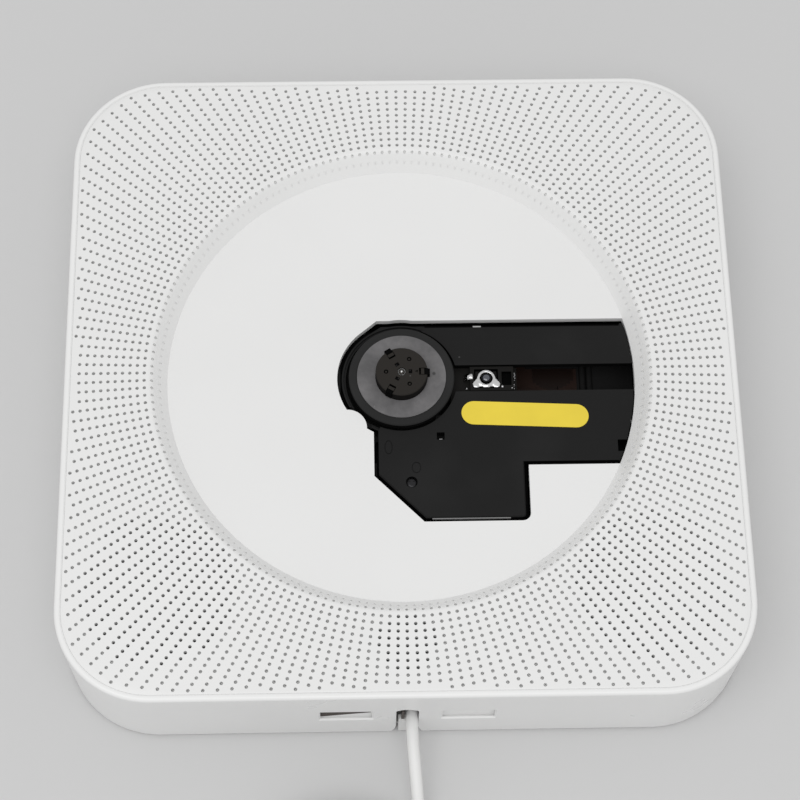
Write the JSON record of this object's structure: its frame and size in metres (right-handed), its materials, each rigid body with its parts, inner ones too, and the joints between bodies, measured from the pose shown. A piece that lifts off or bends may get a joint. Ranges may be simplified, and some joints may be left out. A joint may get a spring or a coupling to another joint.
{
  "type": "wall mounted cd player",
  "caption": "Square wall-hung disc player with an open dish, perforated speaker panel, sprung disc hub, sliding laser pickup and a pull cord that switches it on",
  "frame": {"origin": "centre of the housing's footprint, on the surface it lies on (the wall plane when it is hung)", "axes": "+Z out of the front panel, +Y towards the top edge as it hangs, +X to the right seen from the front"},
  "size_m": [0.19, 0.2678, 0.0358],
  "materials": {
    "panel_white": "satin moulded white",
    "shell_white": "smooth moulded white",
    "floor_white": "satin moulded white",
    "cover_white": "satin moulded white",
    "slider_white": "satin moulded white",
    "button_white": "smooth moulded white",
    "foot_rubber": "grey rubber",
    "screw_steel": "zinc plated",
    "screw_black": "blackened steel",
    "speaker_metal": "black painted",
    "speaker_paper": "black pressed paper",
    "magnet_steel": "dull grey ferrite and plate",
    "board_green": "green board varnish",
    "dark_plastic": "smooth black",
    "cord_white": "soft white sheath",
    "plug_metal": "bright nickel",
    "mech_black": "fine grained black",
    "sled_black": "dull black",
    "sticker_yellow": "plain yellow film",
    "damper_rubber": "soft black rubber",
    "motor_steel": "drawn steel can",
    "shaft_steel": "ground bright steel",
    "pad_rubber": "grey non-slip rubber",
    "lens_cover_chrome": "bright plated sheet",
    "lens_glass": "coated clear lens",
    "gear_plastic": "natural nylon",
    "rack_black": "dull black acetal",
    "flex_amber": "amber film"
  },
  "bodies": {
    "housing": {"front_panel": "panel_white", "side_shell": "shell_white", "disc_floor": "floor_white", "rear_cover": "cover_white", "rubber_feet": "foot_rubber", "housing_screws": "screw_steel", "speaker_frame_left": "speaker_metal", "speaker_frame_right": "speaker_metal", "speaker_cone_left": "speaker_paper", "speaker_cone_right": "speaker_paper", "speaker_magnet_left": "magnet_steel", "speaker_magnet_right": "magnet_steel", "sensor_board": "board_green", "remote_sensor": "dark_plastic", "main_board": "board_green", "board_screws": "screw_steel", "board_chips": "dark_plastic", "board_capacitors": "dark_plastic", "headphone_jack": "dark_plastic", "button_board": "board_green", "push_switches": "dark_plastic", "pull_guide": "cover_white", "mech_cover": "mech_black", "yellow_sticker": "sticker_yellow", "mech_chassis": "mech_black", "mech_screws": "screw_black", "mech_dampers": "damper_rubber", "damper_screws": "screw_steel", "spindle_motor": "motor_steel", "sled_motor": "motor_steel", "guide_rod": "shaft_steel", "guide_rail": "shaft_steel", "flex_cable": "flex_amber"},
    "spindle": {"spindle_shaft": "shaft_steel", "turntable": "mech_black", "turntable_pad": "pad_rubber", "hub": "mech_black"},
    "claw_1": {"hub_claw_1": "mech_black"},
    "claw_2": {"hub_claw_2": "mech_black"},
    "claw_3": {"hub_claw_3": "mech_black"},
    "sled": {"sled": "sled_black", "sled_rack": "rack_black", "lens_cover": "lens_cover_chrome"},
    "lens_group": {"lens_holder": "sled_black", "lens": "lens_glass"},
    "drive_gear": {"drive_gear": "gear_plastic"},
    "motor_pinion": {"motor_pinion": "gear_plastic"},
    "volume_down": {"button_volume_down": "button_white"},
    "volume_up": {"button_volume_up": "button_white"},
    "previous": {"button_previous": "button_white"},
    "next": {"button_next": "button_white"},
    "power": {"button_power": "button_white"},
    "pull_cord": {"pull_slider": "slider_white", "cord_relief": "cord_white", "cord": "cord_white", "cord_coil": "cord_white", "plug_body": "cord_white", "plug_shell": "plug_metal"}
  },
  "joints": [
    {"name": "spindle_turn", "type": "hinge", "parent": "housing", "child": "spindle", "pos_m": [0, 0, 0.0312], "axis": [0, 0, 1], "continuous": true},
    {"name": "claw_1_spring", "type": "slide", "parent": "spindle", "child": "claw_1", "axis": [-1, 0, 0], "range_m": [0, 0.0004], "stiffness_N_per_m": 600},
    {"name": "claw_2_spring", "type": "slide", "parent": "spindle", "child": "claw_2", "axis": [0.5, -0.866, 0], "range_m": [0, 0.0004], "stiffness_N_per_m": 600},
    {"name": "claw_3_spring", "type": "slide", "parent": "spindle", "child": "claw_3", "axis": [0.5, 0.866, 0], "range_m": [0, 0.0004], "stiffness_N_per_m": 600},
    {"name": "sled_slide", "type": "slide", "parent": "housing", "child": "sled", "axis": [1, 0, 0], "range_m": [0, 0.034]},
    {"name": "lens_focus", "type": "slide", "parent": "sled", "child": "lens_group", "axis": [0, 0, 1], "range_m": [-0.0005, 0.0005], "stiffness_N_per_m": 120},
    {"name": "drive_gear_turn", "type": "hinge", "parent": "housing", "child": "drive_gear", "pos_m": [0.025, -0.0215, 0.0208], "axis": [0, 0, 1], "range_deg": [-660, 10]},
    {"name": "motor_pinion_turn", "type": "hinge", "parent": "housing", "child": "motor_pinion", "pos_m": [0.01581, -0.02921, 0.0208], "axis": [0, 0, 1], "range_deg": [-10, 1970]},
    {"name": "volume_down_press", "type": "slide", "parent": "housing", "child": "volume_down", "axis": [0, -1, 0], "range_m": [0, 0.0006], "stiffness_N_per_m": 2500},
    {"name": "volume_up_press", "type": "slide", "parent": "housing", "child": "volume_up", "axis": [0, -1, 0], "range_m": [0, 0.0006], "stiffness_N_per_m": 2500},
    {"name": "previous_press", "type": "slide", "parent": "housing", "child": "previous", "axis": [0, -1, 0], "range_m": [0, 0.0006], "stiffness_N_per_m": 2500},
    {"name": "next_press", "type": "slide", "parent": "housing", "child": "next", "axis": [0, -1, 0], "range_m": [0, 0.0006], "stiffness_N_per_m": 2500},
    {"name": "power_press", "type": "slide", "parent": "housing", "child": "power", "axis": [0, -1, 0], "range_m": [0, 0.0006], "stiffness_N_per_m": 2500},
    {"name": "cord_pull", "type": "slide", "parent": "housing", "child": "pull_cord", "axis": [0, -1, 0], "range_m": [0, 0.003], "stiffness_N_per_m": 1200}
  ],
  "couplings": [
    {"joint": "drive_gear_turn", "follows": "sled_slide", "rad_per_m": -333.33},
    {"joint": "motor_pinion_turn", "follows": "sled_slide", "rad_per_m": 1000}
  ]
}
